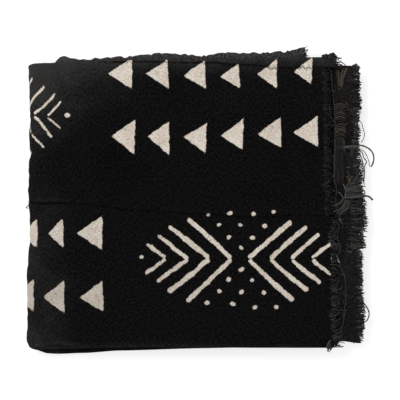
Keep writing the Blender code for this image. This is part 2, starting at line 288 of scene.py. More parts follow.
def seamPlace(number, along):
    # Place of the seam below a strip; number 0 is the first selvage
    if number == 2:
        return mm * softCurve(upperSeamRows, along / mm)
    if number == 3:
        return placeAtY(along, mm * softCurve(middleSeamRows, along / mm))
    if number == 6:
        y = mm * softCurve(selvageRows, along / mm)
        y = y + selvageRough["reach"] * lumps(along, along * 0, selvageRough["size"], 61)
        return 2 * lowFoldY - lowFoldLength - placeAtY(along, y)
    place = (3 - number) * pile["stripWidth"] + mm * softCurve(slipRows, along / mm)
    if number == 0:
        place = np.minimum(place, 2 * topFoldY + topFoldLength - pile["innerSelvageY"])
    return place


def slanted(number, along, place):
    # Distance along the cloth once the strip's raw ends stand out or fall short
    ends = stripEnds[number]
    topShare = np.clip(1 - along / pile["endFade"], 0, 1)
    underShare = np.clip(1 - (clothLength - along) / pile["endFade"], 0, 1)
    out = underShare * softCurve(ends["under"], place / mm) - topShare * softCurve(ends["top"], place / mm)
    return along + mm * out


# The dyed pattern. Millimetres: u runs along the cloth from the upper raw end, v across it
# from the pile's middle line. It repeats along each strip, and each strip is half a
# repeat on from its neighbour.
pattern = dict(repeat=515.0, plainEnd=1268.0, plainFold=(636.0, 662.0), edgeWobble=0.50, wobbleSize=5.0,
               nicks=0.34, nickSize=2.3, lean=0.8, swell=0.2, lowFoldMargin=9.0, reach=3.0, seed=5)

# Rows of triangles that point away from the raw end: where each one's base stands, how
# deep and how wide it is, and the line of its tip
triangleRows = dict(
    A=[dict(bases=(19.3, 55.9, 95.5, 131.2, 169.8, 207.4), depths=(18.2, 20, 19.4, 22, 22.4, 24.8),
            tips=(134.7, 131.7, 129.7, 130.7, 133, 132.6), ups=(15, 16, 13.5, 15.5, 14, 16),
            downs=(12.5, 14, 12, 13.5, 16, 15.8)),
       dict(bases=(13.3, 51.8, 91.4, 130.2, 169.0, 205.0), depths=(24.6, 24.1, 22.6, 23.1, 22.1, 23.8),
            tips=(70.7, 69, 67.6, 66.3, 67, 67), ups=(17, 18, 17.5, 14, 15, 17),
            downs=(14.7, 13.7, 14.7, 16.7, 19.7, 18.4))],
    B=[dict(bases=(238.6, 279.2, 306.8, 345, 383, 421), depths=(26, 15.8, 22, 23, 23, 22),
            tips=(-34.9, -35.2, -35, -34, -35, -36), ups=(18, 15, 14, 16, 16, 15),
            downs=(17.1, 14.6, 14, 15, 16, 16)),
       dict(bases=(236.8, 276.6, 307.6, 347, 385, 423), depths=(23.8, 21.4, 24, 22, 23, 23),
            tips=(-102.5, -102, -102, -101, -102, -103), ups=(17.1, 17, 18, 16, 16, 15),
            downs=(14.7, 16.6, 15, 15, 16, 16))],
)

# Two stacks of chevrons, point to point, with dots between them. u is from the stack's
# own start. Rows are (point, upper arm's back and reach, lower arm's back and reach, width):
# back is how far an arm goes back from the point, and reach how far it goes up or down.
chevronStacks = dict(
    A=dict(start=275.3, middle=88.4, length=199.0, parted=0.9,
           near=[(20.2, 13.0, 15.6, 12.8, 13.6, 2.2), (33.6, 20.4, 23.2, 16.4, 22.6, 2.2),
                 (49.0, 24.8, 31.6, 23.2, 34.0, 2.3), (64.6, 29.2, 40.2, 25.0, 39.6, 2.2)],
           far=[(100.0, 42.0, 42.0, 42.0, 43.0, 3.6), (122.0, 38.0, 35.0, 37.0, 34.0, 3.6),
                (144.0, 30.0, 26.0, 31.0, 24.0, 3.4), (166.0, 18.0, 15.0, 17.0, 16.0, 3.2)]),
    B=dict(start=-3.0, middle=-61.8, length=200.6, parted=0.0,
           near=[(20.5, 17.6, 17.4, 19.0, 18.4, 3.6), (42.0, 26.0, 27.4, 27.2, 26.6, 4.1),
                 (63.8, 34.5, 34.6, 35.6, 34.2, 4.5), (86.6, 41.4, 40.2, 42.6, 44.2, 4.9)],
           far=[(108.6, 42.7, 43.2, 43.4, 45.6, 4.4), (131.6, 38.6, 35.2, 39.2, 36.0, 4.8),
                (153.9, 28.4, 25.8, 28.8, 25.0, 4.2), (177.0, 16.6, 16.6, 17.4, 16.4, 3.6)]),
)
brush = dict(dabs=5, bow=0.6, shake=0.35, widths=(0.8, 1.15), gap=0.45, breakAtPoint=0.55,
             breaks=(-1.2, 1.4))

# Dots between the two stacks, in short rows from the top, as (place, height), and one at
# each far end
dots = dict(
    spots=[(131.1, 46.4), (107.7, 48.2), (83.1, 47.0), (61.8, 49.6),
           (119.8, 35.4), (97.2, 35.4), (71.8, 34.5),
           (109.3, 22.8), (84.1, 21.9),
           (95.9, 11.7),
           (95.9, -11.1),
           (109.3, -21.6), (84.9, -22.4),
           (119.2, -33.7), (95.9, -35.0), (72.3, -35.5),
           (132.2, -46.0), (104.9, -46.8), (81.8, -50.8), (59.2, -50.8)],
    ends=(0.5, 1.7),                # the far dots' heights
    radius=2.4,
    wide=(0.85, 1.25),
    tall=(0.7, 1.0),
    stray=0.3,
    turn=0.6,
)


def segmentDistance(u, v, start, end):
    # Distance to a line from start to end
    run, rise = end[0] - start[0], end[1] - start[1]
    share = np.clip(((u - start[0]) * run + (v - start[1]) * rise) / (run * run + rise * rise), 0, 1)
    return np.hypot(u - start[0] - share * run, v - start[1] - share * rise)


def triangleDepth(u, v, corners):
    # How far inside a triangle, in millimetres, and below nothing outside it
    depth = np.full(u.shape, np.inf)
    turn = (corners[1][0] - corners[0][0]) * (corners[2][1] - corners[0][1])
    turn -= (corners[1][1] - corners[0][1]) * (corners[2][0] - corners[0][0])
    for first, second in zip(corners, corners[1:] + corners[:1]):
        run, rise = second[0] - first[0], second[1] - first[1]
        side = (run * (v - first[1]) - rise * (u - first[0])) / math.hypot(run, rise)
        depth = np.minimum(depth, math.copysign(1, turn) * side)
    return depth


def paintMotif(pale, u, v, box, depthOf):
    # Lays one motif over what is there, only at the points near it
    reach = pattern["reach"]
    near = (u > box[0] - reach) & (u < box[1] + reach) & (v > box[2] - reach) & (v < box[3] + reach)
    if near.any():
        pale[near] = np.maximum(pale[near], depthOf(u[near], v[near]))


def paintTriangles(pale, u, v, row, shift, lower, chance):
    columns = [row[key] for key in ("bases", "depths", "tips", "ups", "downs")]
    for base, depth, tip, up, down in zip(*columns):
        low, high = base + shift, base + shift + depth
        if high > pattern["plainEnd"] or low < pattern["plainFold"][1] and high > pattern["plainFold"][0]:
            continue
        middle = tip - lower
        lean = pattern["lean"] * chance.uniform(-1, 1)
        corners = [(high, middle), (low + lean, middle - down), (low - lean, middle + up)]
        paintMotif(pale, u, v, (low - 1, high, middle - down, middle + up),
                   lambda a, b, corners=corners: triangleDepth(a, b, corners) + pattern["swell"])


def paintStroke(pale, u, v, start, end, stroke, chance):
    # A brushed line: short dabs that bow and change in width
    bow = chance.uniform(-1, 1) * brush["bow"]
    run, rise = end[0] - start[0], end[1] - start[1]
    length = math.hypot(run, rise)
    points, widths = [], []
    for step in range(brush["dabs"] + 1):
        share = step / brush["dabs"]
        push = (bow * math.sin(math.pi * share) + brush["shake"] * chance.uniform(-1, 1)) / length
        points.append((start[0] + share * run - push * rise, start[1] + share * rise + push * run))
        widths.append(stroke / 2 * chance.uniform(*brush["widths"]))
    for first, second, width in zip(points, points[1:], widths):
        box = (min(first[0], second[0]) - width, max(first[0], second[0]) + width,
               min(first[1], second[1]) - width, max(first[1], second[1]) + width)
        paintMotif(pale, u, v, box,
                   lambda a, b, f=first, s=second, w=width: w - segmentDistance(a, b, f, s))


def paintChevrons(pale, u, v, stack, start, middle, chance):
    for rows, heading in ((stack["near"], -1), (stack["far"], 1)):
        for point, upBack, up, downBack, down, stroke in rows:
            for side, back, reach in ((1, upBack, up), (-1, downBack, down)):
                gap = brush["gap"] * stroke + stack["parted"]
                gap += brush["breakAtPoint"] * chance.uniform(*brush["breaks"])
                tip = (start + point, middle + side * gap)
                last = (start + point + heading * back, middle + side * (reach - stroke / 2))
                paintStroke(pale, u, v, tip, last, stroke, chance)


def paintDots(pale, u, v, stack, start, middle, chance):
    scale = stack["length"] / chevronStacks["B"]["length"]
    spots = [(place * scale, height) for place, height in dots["spots"]]
    spots += list(zip((0.0, stack["length"]), dots["ends"]))
    for place, height in spots:
        strayX, strayY = (dots["stray"] * chance.uniform(-1, 1) for _ in range(2))
        centre = (start + place + strayX, middle + height + strayY)
        wide, tall = (dots["radius"] * chance.uniform(*dots[key]) for key in ("wide", "tall"))
        turn = dots["turn"] * chance.uniform(-1, 1)

        def depthOf(a, b, centre=centre, wide=wide, tall=tall, turn=turn):
            along = (a - centre[0]) * math.cos(turn) + (b - centre[1]) * math.sin(turn)
            aside = (b - centre[1]) * math.cos(turn) - (a - centre[0]) * math.sin(turn)
            return (1 - np.hypot(along / wide, aside / tall)) * min(wide, tall)
        box = (centre[0] - wide, centre[0] + wide, centre[1] - wide, centre[1] + wide)
        paintMotif(pale, u, v, box, depthOf)


def paintPattern(along, place):
    # How far inside a pale motif each point lies, in millimetres
    pale = np.full(along.shape, -pattern["reach"])
    wobble, size = pattern["edgeWobble"], pattern["wobbleSize"] * mm
    u = along / mm + wobble * lumps(along, place, size, 21)
    v = yAtPlace(along, place) / mm + wobble * lumps(place, along, size, 22)
    chance = random.Random(pattern["seed"])
    width = pile["stripWidth"] / mm
    for number in range(1, 7):
        kind = "A" if number % 2 else "B"
        lower = (number - (3 if kind == "A" else 4)) * width
        for turn in (-1, 0, 1, 2):
            shift = turn * pattern["repeat"]
            for row in triangleRows[kind]:
                paintTriangles(pale, u, v, row, shift, lower, chance)
            stack = chevronStacks[kind]
            start, middle = stack["start"] + shift, stack["middle"] - lower
            if -100 < start and start + stack["length"] < pattern["plainEnd"]:
                paintChevrons(pale, u, v, stack, start, middle, chance)
                paintDots(pale, u, v, stack, start, middle, chance)
    # Small nicks where the dye crept in at the edges
    pale += pattern["nicks"] * lumps(along, place, pattern["nickSize"] * mm, 23)
    # No motif shows round the low fold
    fromFold = np.abs(place - lowFoldY + lowFoldLength / 2)
    pale[fromFold < pattern["lowFoldMargin"] * mm] = -pattern["reach"]
    return np.clip(pale, -pattern["reach"], pattern["reach"])


# How finely each strip is laid out. Steps are in millimetres: along the cloth for each
# stretch, and across it with the visible places closer.
hiddenStretches = [(640, 652, 1.2), (652, 955, 16), (955, 968, 1.2), (968, 1250, 16), (1250, 1294, 2.2)]
fineStretches = [(0, 336, 1.5), (336, 640, 3.4)] + hiddenStretches
plainStretches = [(0, 336, 2.8), (336, 640, 8)] + hiddenStretches
layout = {
    1: dict(stretches=plainStretches, step=10.0, close=[]),
    2: dict(stretches=fineStretches, step=9.0, close=[(128, 160, 1.2)]),
    3: dict(stretches=fineStretches, step=1.5, close=[]),
    4: dict(stretches=fineStretches, step=1.5, close=[]),
    5: dict(stretches=plainStretches, step=4.0, close=[(-262, -246, 1.2)]),
    6: dict(stretches=plainStretches, step=4.0, close=[(-470, -440, 2.0)]),
}
foldStep = 0.42          # across the two side folds


def linesAlong(stretches):
    lines = [0.0]
    for start, stop, step in stretches:
        count = max(1, round((min(stop, clothLength / mm) - start) / step))
        lines += list(np.linspace(start, min(stop, clothLength / mm), count + 1)[1:])
    return np.array(lines) * mm


def placesAcross(number, upper, lower):
    # Points across a strip for each line along it, closer where the layout says
    rows = layout[number]
    ruler = np.arange(-0.480, 0.480, 0.0001)
    step = np.full(ruler.shape, rows["step"])
    for low, high, close in rows["close"]:
        step[(ruler > low * mm) & (ruler < high * mm)] = close
    for rim, length in ((topFoldY, topFoldLength), (lowFoldY - lowFoldLength, lowFoldLength)):
        step[(ruler > rim - 0.0003) & (ruler < rim + length + 0.0003)] = foldStep
    measure = np.concatenate([[0.0], np.cumsum(0.1 / step)[:-1]])
    high, low = np.interp(upper, ruler, measure), np.interp(lower, ruler, measure)
    count = int(round(float((high - low).max())))
    shares = np.linspace(0, 1, count + 1)
    return np.interp(high[:, None] + shares[None, :] * (low - high)[:, None], measure, ruler)


# Painted sheen and wear: the dyed ground is lighter in the upper left and at the left as painted sheen, on
# the folds as painted sheen and rubbed dye, with random blotches, a tone by height in Y, a painted highlight
# on the middle seam's ridge and painted shade in both seams
paintedSheenAndWear = dict(
    corner=dict(x=-0.175, y=0.150, reach=0.132, share=0.44),
    left=dict(reach=0.078, share=0.42),
    # painted sheen on the rounded folds, partly rubbed dye
    blotch=dict(size=0.030, share=0.10, less=0.06),
    topFold=dict(reach=0.010, share=0.80),
    lowFold=dict(reach=0.004, share=0.25),
    underEnd=dict(x=0.139, fade=0.006, share=0.38),     # the lower end that looks out at the right, lighter there as painted sheen
    ridge=dict(above=0.0028, reach=0.0020, share=0.35, size=0.0045),     # painted highlight on the ridge along the middle seam
    seamLine=dict(reach=0.0009, share=0.75, size=0.007),                 # painted shade, dark in both seams
    heights=[(-165, 0.06), (-110, 0.02), (-60, 0.0), (-20, -0.02), (10, -0.12), (50, -0.14), (78, 0.0),
             (105, 0.12), (130, 0.08), (160, 0.08)],
)

# The raised edges on both sides of a seam, and how its stitches pull them in
pucker = dict(seams=(2, 3), height=0.0009, away=0.0030, reach=0.0032, period=0.0105, uneven=0.35,
              stray=0.02, lowerSide=0.45, groove=0.0007, grooveReach=0.0011)

# Raw ends: how far the woven end is ragged
rag = dict(size=0.0032, reach=0.0014, coarseSize=0.016, coarseReach=0.0016, fade=0.012)


def topRunShare(along):
    # 1 on the top run, and nothing past the left fold
    before, fade = pile["topRunFade"]
    return smooth((route[2]["start"] - before - along) / fade)


def stripEdges(number, along):
    # A strip's upper and lower edge, each where the cloth's raw end lays it
    gap = pile["seamGap"] / 2
    gape = pile["openSeam"] / 2 * (0.6 + 0.4 * lumps(along, along * 0, 0.006, 81)) * topRunShare(along)
    upper, lower = (seamPlace(seam, along) for seam in (number - 1, number))
    upper = seamPlace(number - 1, slanted(number, along, upper))
    lower = seamPlace(number, slanted(number, along, lower))
    return upper - gap - gape * (number == 4), lower + gap + gape * (number == 3)


def ragged(number, along, place):
    # Ragged raw ends, fading out a little way into the cloth
    push = rag["reach"] * lumps(place, place * 0 + number, rag["size"], 31)
    push = push + rag["coarseReach"] * lumps(place, place * 0 + number, rag["coarseSize"], 32)
    nearTop = np.clip(1 - along / rag["fade"], 0, 1)
    nearUnder = np.clip(1 - (clothLength - along) / rag["fade"], 0, 1)
    return along + push * nearTop - push * nearUnder


def onTopRun(along, place):
    # 1 on the top layer of the top run, and nothing past its folds
    upper = smooth((topFoldY + topFoldLength * 0.9 - place) / 0.002)
    lower = smooth((place - lowFoldY + 0.004) / 0.004)
    return topRunShare(along) * upper * lower


def seamRelief(along, place):
    relief = np.zeros_like(along)
    for number in pucker["seams"]:
        away = place - seamPlace(number, along)
        ridge = bell(np.abs(away) - pucker["away"], pucker["reach"]) ** 2
        turn = 2 * math.pi * along / pucker["period"] + 2 * lumps(along, place, pucker["stray"], 41)
        pull = 1 - pucker["uneven"] * (1 - np.sin(turn))
        relief += pucker["height"] * ridge * pull * np.where(away > 0, 1.0, pucker["lowerSide"])
        relief -= pucker["groove"] * bell(away, pucker["grooveReach"])
    return relief * onTopRun(along, place)


def sheenAndWearShare(points, along, place):
    # How much lighter the dyed ground is, as painted sheen and rubbed dye; below nothing where painted shade
    # darkens a seam
    x, y = points[..., 0], points[..., 1]
    corner, left, blotch = paintedSheenAndWear["corner"], paintedSheenAndWear["left"], paintedSheenAndWear["blotch"]
    topFold, lowFold, underEnd = paintedSheenAndWear["topFold"], paintedSheenAndWear["lowFold"], paintedSheenAndWear["underEnd"]
    ridge, seamLine = paintedSheenAndWear["ridge"], paintedSheenAndWear["seamLine"]
    # Painted sheen: lighter in the upper left and towards the left edge, where the cloth rounds over
    away = np.hypot(x - corner["x"], y - corner["y"]) / corner["reach"]
    sheenAndWear = corner["share"] * (1 - smooth(away))
    sheenAndWear += left["share"] * smooth(1 - (x - cadBox[0][0]) / left["reach"])
    sheenAndWear += blotch["share"] * lumps(x, y, blotch["size"], 51) - blotch["less"]
    # Lighter or darker by height in Y
    sheenAndWear += softCurve(paintedSheenAndWear["heights"], y / mm)
    # Painted sheen on the rounded top and low folds, partly rubbed dye, and on the lower end at the right
    away = np.maximum(topFoldY + topFoldLength / 2 - place, 0)
    sheenAndWear += topFold["share"] * np.exp(-away / topFold["reach"])
    sheenAndWear += lowFold["share"] * bell(place - lowFoldY + lowFoldLength / 3, lowFold["reach"])
    sheenAndWear += underEnd["share"] * smooth((x - underEnd["x"]) / underEnd["fade"])
    onTop = onTopRun(along, place)
    # Painted highlight along the raised ridge above the middle seam
    uneven = 0.5 + 0.5 * lumps(along, place, ridge["size"], 82)
    away = place - seamPlace(3, along) - ridge["above"]
    sheenAndWear += ridge["share"] * uneven * bell(away, ridge["reach"]) * onTop
    # Painted shade: darker along both seams, down to none
    for number in pucker["seams"]:
        away = place - seamPlace(number, along)
        dark = 0.7 + 0.6 * lumps(along, along * 0, seamLine["size"], 83)
        sheenAndWear -= (sheenAndWear + seamLine["share"]) * dark * bell(away, seamLine["reach"]) * onTop
    return np.clip(sheenAndWear, -1, 1.4)


def gridMesh(name, points, attributes, flatSize):
    # A mesh from a grid of points, with its flat place as UV and one float layer each
    rows, columns = points.shape[:2]
    corner = np.arange(rows * columns).reshape(rows, columns)
    faces = np.stack([corner[:-1, :-1], corner[1:, :-1], corner[1:, 1:], corner[:-1, 1:]], axis=-1)
    faces = faces.reshape(-1, 4)
    mesh = bpy.data.meshes.new(name)
    mesh.vertices.add(rows * columns)
    mesh.vertices.foreach_set("co", points.reshape(-1))
    mesh.loops.add(faces.size)
    mesh.loops.foreach_set("vertex_index", faces.reshape(-1))
    mesh.polygons.add(len(faces))
    mesh.polygons.foreach_set("loop_start", np.arange(0, faces.size, 4))
    mesh.polygons.foreach_set("use_smooth", np.ones(len(faces), bool))
    mesh.update(calc_edges=True)
    layer = mesh.uv_layers.new(name="flatCloth")
    layer.data.foreach_set("uv", flatSize.reshape(-1, 2)[faces.reshape(-1)].reshape(-1))
    for key, values in attributes.items():
        mesh.attributes.new(key, "FLOAT", "POINT").data.foreach_set("value", values.reshape(-1))
    mesh.validate()
    return mesh


def addPiece(name, mesh, *materials):
    piece = bpy.data.objects.new(name, mesh)
    bpy.context.scene.collection.objects.link(piece)
    for material in materials:
        piece.data.materials.append(material)
    return piece


# Materials

cloth = dict(
    black=(0.0018, 0.0018, 0.0019),
    greyer=(0.0094, 0.0090, 0.0093),
    # painted sheen and rubbed dye: the light colour the dyed ground turns to
    sheenAndRubbed=(0.0340, 0.0330, 0.0325),
    # painted shade in the seams
    seamPaintedShade=(0.0002, 0.0002, 0.0002),
    backBlack=(0.0160, 0.0155, 0.0155),
    backGrey=(0.0800, 0.0785, 0.0770),
    stain=(0.0200, 0.0110, 0.0050),  # brown just outside a pale motif
    stainShare=0.45,
    undyed=(0.810, 0.735, 0.650),
    undyedDeep=(0.715, 0.630, 0.535),
    darkerLowerLeft=(0.02, 0.02, 0.02),
    darkerLowerLeftShare=0.30,                  # how much darker towards the lower left
    caught=(0.160, 0.130, 0.110),    # dye caught between the undyed yarns
    caughtShares=(0.55, 0.30, 0.25),  # as specks, in the grain and as spots
    seeThrough=0.25,                 # how much of a motif shows on the back
    yarnPitch=0.00085,
    yarnWobble=5.0,
    slub=(330.0, 1050.0),            # features a metre along and across a yarn
    grain=(0.43, 0.59),
    motifEdge=0.35,                  # mm
    motifFuzz=2.4,                   # mm
    reliefDepth=0.0005,
    roughness=0.95,
    specular=0.012,
    sheen=0.005,
)


class NodeKit:
    # Short ways to add and wire shader nodes
    def __init__(self, name):
        self.material = bpy.data.materials.new(name)
        self.material.use_nodes = True
        self.tree = self.material.node_tree
        self.shader = self.tree.nodes["Principled BSDF"]

    def add(self, kind, inputs=(), **settings):
        node = self.tree.nodes.new("ShaderNode" + kind)
        for key, value in settings.items():
            setattr(node, key, value)
        for socket, value in dict(inputs).items():
            self.put(node.inputs[socket], value)
        return node

    def put(self, socket, value):
        if isinstance(value, bpy.types.NodeSocket):
            self.tree.links.new(value, socket)
        elif isinstance(value, bpy.types.Node):
            self.tree.links.new(value.outputs[0], socket)
        else:
            socket.default_value = value

    def math(self, operation, first, second=0.0):
        return self.add("Math", {0: first, 1: second}, operation=operation).outputs[0]

    def times(self, first, second):
        return self.math("MULTIPLY", first, second)

    def plus(self, first, second):
        return self.math("ADD", first, second)

    def mix(self, share, first, second):
        node = self.add("Mix", data_type="RGBA")
        self.put(node.inputs["Factor"], share)
        self.put(node.inputs["A"], first)
        self.put(node.inputs["B"], second)
        return node.outputs["Result"]

    def remap(self, value, low, high, toLow=0.0, toHigh=1.0):
        node = self.add("MapRange", {"Value": value, "From Min": low, "From Max": high,
                                     "To Min": toLow, "To Max": toHigh}, interpolation_type="SMOOTHSTEP")
        return node.outputs["Result"]

    def noise(self, vector, scale, detail=2.0, roughness=0.5):
        return self.add("TexNoise", {"Vector": vector, "Scale": scale, "Detail": detail,
                                     "Roughness": roughness}).outputs["Fac"]

    def finishCotton(self, relief, strength, depth, roughness, specular, sheen):
        bump = self.add("Bump", {"Height": relief, "Strength": strength, "Distance": depth})
        for socket, value in (("Roughness", roughness), ("Specular IOR Level", specular),
                              ("Sheen Weight", sheen), ("Normal", bump)):
            self.put(self.shader.inputs[socket], value)


def rgba(colour):
    return (*colour, 1.0)


def weaveHeight(kit, flat):
    # Plain weave: yarns over and under, with each yarn a little thick or thin
    wobble = kit.times(kit.noise(flat, 260.0, 2.0), cloth["yarnWobble"])
    split = kit.add("SeparateXYZ", {0: flat})
    waves = []
    for axis in ("Y", "X"):
        turn = kit.times(split.outputs[axis], 2 * math.pi / cloth["yarnPitch"])
        waves.append(kit.math("SINE", kit.plus(turn, wobble)))
    return kit.times(*waves)


def streaks(kit, flat, wide, tall):
    # Noise drawn out along one direction of the weave, in features per metre
    stretched = kit.add("Mapping", {"Vector": flat, "Scale": (wide, tall, 1.0)}).outputs[0]
    return kit.noise(stretched, 1.0, 2.0, 0.6)


def makeClothMaterial(name, isBack=False):
    kit = NodeKit(name)
    flat = kit.add("UVMap", uv_map="flatCloth").outputs["UV"]
    pale = kit.add("Attribute", attribute_name="pale").outputs["Fac"]
    sheenAndWear = kit.add("Attribute", attribute_name="sheenAndWear").outputs["Fac"]
    weave = weaveHeight(kit, flat)
    coarse = kit.noise(flat, 55.0, 3.0)
    specks = kit.noise(flat, 620.0, 2.0, 0.6)
    long, short = cloth["slub"]
    slubs = kit.plus(streaks(kit, flat, long, short), streaks(kit, flat, short, long))
    grain = kit.remap(kit.plus(kit.times(slubs, 0.5), kit.times(weave, 0.02)), *cloth["grain"])
    # Pale motifs have a soft, yarn-stepped edge
    fuzz = kit.times(kit.math("SUBTRACT", specks, 0.5), cloth["motifFuzz"])
    depth = kit.plus(kit.plus(pale, fuzz), kit.times(weave, 0.15))
    inside = kit.remap(depth, -cloth["motifEdge"], cloth["motifEdge"])
    # Dyed ground, lighter as painted sheen and rubbed dye on the high yarns, and dark as painted shade in the
    # seams
    sheenAndThinDye = kit.times(sheenAndWear, kit.remap(coarse, 0.30, 0.75, 0.75, 1.15))
    sheenAndThinDye = kit.times(sheenAndThinDye, kit.remap(grain, 0.0, 1.0, 0.68, 1.32))
    shades = ("backBlack", "backGrey", "backGrey") if isBack else ("black", "greyer", "sheenAndRubbed")
    dark, light, sheenAndRubbed = (rgba(cloth[key]) for key in shades)
    ground = kit.mix(grain, dark, light)
    # Painted sheen and rubbed dye lighten the ground
    ground = kit.mix(kit.remap(sheenAndThinDye, 0.0, 1.0), ground, sheenAndRubbed)
    # Painted shade: near black along the seams
    ground = kit.mix(kit.remap(sheenAndWear, -0.15, -0.5), ground, rgba(cloth["seamPaintedShade"]))
    if not isBack:
        edge = kit.times(kit.remap(depth, -1.3, -0.5), cloth["stainShare"])
        ground = kit.mix(edge, ground, rgba(cloth["stain"]))
    # Undyed cotton, with dye caught between the undyed yarns, and darker towards the lower left
    split = kit.add("SeparateXYZ", {0: flat})
    leftward = kit.times(split.outputs["X"], 0.4)
    darkerLowerLeft = kit.remap(kit.math("SUBTRACT", leftward, split.outputs["Y"]), 0.05, 0.25)
    cotton = kit.mix(kit.remap(coarse, 0.35, 0.70), rgba(cloth["undyed"]), rgba(cloth["undyedDeep"]))
    cotton = kit.mix(kit.times(darkerLowerLeft, cloth["darkerLowerLeftShare"]), cotton, rgba(cloth["darkerLowerLeft"]))
    inSpecks, inGrain, inSpots = cloth["caughtShares"]
    spots = kit.noise(flat, 120.0, 1.0)
    caught = kit.times(kit.remap(specks, 0.56, 0.74), inSpecks)
    caught = kit.plus(caught, kit.remap(grain, 0.75, 0.0, 0.0, inGrain))
    caught = kit.plus(caught, kit.times(kit.remap(spots, 0.62, 0.74), inSpots))
    cotton = kit.mix(caught, cotton, rgba(cloth["caught"]))
    share = kit.times(inside, cloth["seeThrough"]) if isBack else inside
    kit.put(kit.shader.inputs["Base Color"], kit.mix(share, ground, cotton))
    relief = kit.plus(kit.times(weave, 0.5), kit.times(specks, 0.9))
    relief = kit.plus(relief, kit.times(slubs, 0.8))
    kit.finishCotton(relief, 0.7, *(cloth[key] for key in ("reliefDepth", "roughness", "specular", "sheen")))
    return kit.material


yarnLayers = ("tint", "rust", "bare")      # how light, how brown and how undyed a yarn is


def makeYarnMaterial(name, dark, light, rust, bare):
    kit = NodeKit(name)
    tint, rusty, bared = (kit.add("Attribute", attribute_name=key).outputs["Fac"] for key in yarnLayers)
    fuzz = kit.noise(kit.add("TexCoord").outputs["Object"], 1600.0, 2.0)
    share = kit.times(tint, kit.remap(fuzz, 0.25, 0.75, 0.5, 1.5))
    colour = kit.mix(kit.remap(share, 0.0, 1.0), rgba(dark), rgba(light))
    colour = kit.mix(rusty, colour, rgba(rust))
    kit.put(kit.shader.inputs["Base Color"], kit.mix(bared, colour, rgba(bare)))
    kit.finishCotton(fuzz, strength=0.5, depth=0.0002, roughness=0.9, specular=0.10, sheen=0.05)
    return kit.material


dyedCloth = makeClothMaterial("dyedCotton")
clothBack = makeClothMaterial("dyedCottonBack", isBack=True)
frayedYarn = makeYarnMaterial("frayedCottonYarn", dark=(0.0030, 0.0028, 0.0029),
                              light=(0.105, 0.100, 0.094), rust=(0.060, 0.045, 0.028),
                              bare=(0.62, 0.58, 0.52))
seamThread = makeYarnMaterial("whipThread", dark=(0.0009, 0.0007, 0.0006),
                              light=(0.040, 0.037, 0.034), rust=(0.030, 0.018, 0.009),
                              bare=(0.50, 0.46, 0.40))
print("materials ready")


def makeStrip(number):
    lines = linesAlong(layout[number]["stretches"])
    upper, lower = stripEdges(number, lines)
    places = placesAcross(number, upper, lower)
    along = np.broadcast_to(lines[:, None], places.shape)
    laid = ragged(number, slanted(number, along, places), places)
    points = foldPoints(laid, places, seamRelief(laid, places))
    # The second layer carries painted sheen, rubbed dye and the seams' painted shade
    attributes = dict(pale=paintPattern(laid, places), sheenAndWear=sheenAndWearShare(points, laid, places))
    flat = np.stack([laid, places], axis=-1)
    name = f"clothStrip{number}"
    piece = addPiece(name, gridMesh(name, points, attributes, flat), dyedCloth, clothBack)
    solid = piece.modifiers.new("thickness", "SOLIDIFY")
    solid.thickness = pile["thickness"]
    solid.offset = 0.0
    solid.material_offset = 1
    solid.material_offset_rim = 0
    return piece


def yarnMesh(name, yarns, sides=5):
    # One mesh of tapering yarns: each has points and radii, and may have a value for each layer
    allPoints, allFaces, start = [], [], 0
    layers = {key: [] for key in yarnLayers}
    for yarn in yarns:
        points, radii = np.asarray(yarn["points"], float), np.asarray(yarn["radii"], float)
        ahead = np.gradient(points, axis=0)
        ahead /= np.maximum(np.linalg.norm(ahead, axis=1, keepdims=True), 1e-9)
        guide = np.array([0.0, 0.0, 1.0]) if abs(ahead[0][2]) < 0.9 else np.array([1.0, 0.0, 0.0])
        base, start = start, start + len(points) * sides
        for index, (point, direction, radius) in enumerate(zip(points, ahead, radii)):
            side = np.cross(direction, guide)
            side /= max(np.linalg.norm(side), 1e-9)
            guide = np.cross(side, direction)
            turns = np.arange(sides) * 2 * math.pi / sides + 0.35 * index
            rim = np.cos(turns)[:, None] * side + np.sin(turns)[:, None] * guide
            allPoints.append(point + radius * rim)
        for ring in range(len(points) - 1):
            for side in range(sides):
                after = (side + 1) % sides
                low, high = base + ring * sides, base + (ring + 1) * sides
                allFaces.append((low + side, low + after, high + after, high + side))
        allFaces.append(tuple(base + side for side in reversed(range(sides))))
        allFaces.append(tuple(base + (len(points) - 1) * sides + side for side in range(sides)))
        for key, values in layers.items():
            values += [yarn.get(key, 0.0)] * (len(points) * sides)
    mesh = bpy.data.meshes.new(name)
    mesh.from_pydata(np.concatenate(allPoints).tolist(), [], allFaces)
    mesh.shade_smooth()
    for key, values in layers.items():
        mesh.attributes.new(key, "FLOAT", "POINT").data.foreach_set("value", values)
    mesh.validate()
    return mesh


# Frayed warp ends, in millimetres; curl is how far a yarn turns on its way, in radians, and
# clump draws the yarns together in teeth
fringe = dict(root=3.0, steps=7, restHeight=0.4, clump=2.1, taper=0.22, heading=0.16, turnPower=1.3,
              full=(0.85, 1.1), thick=(0.8, 1.25), rise=(0.2, 1.3), offset=0.4, tintPower=1.4)
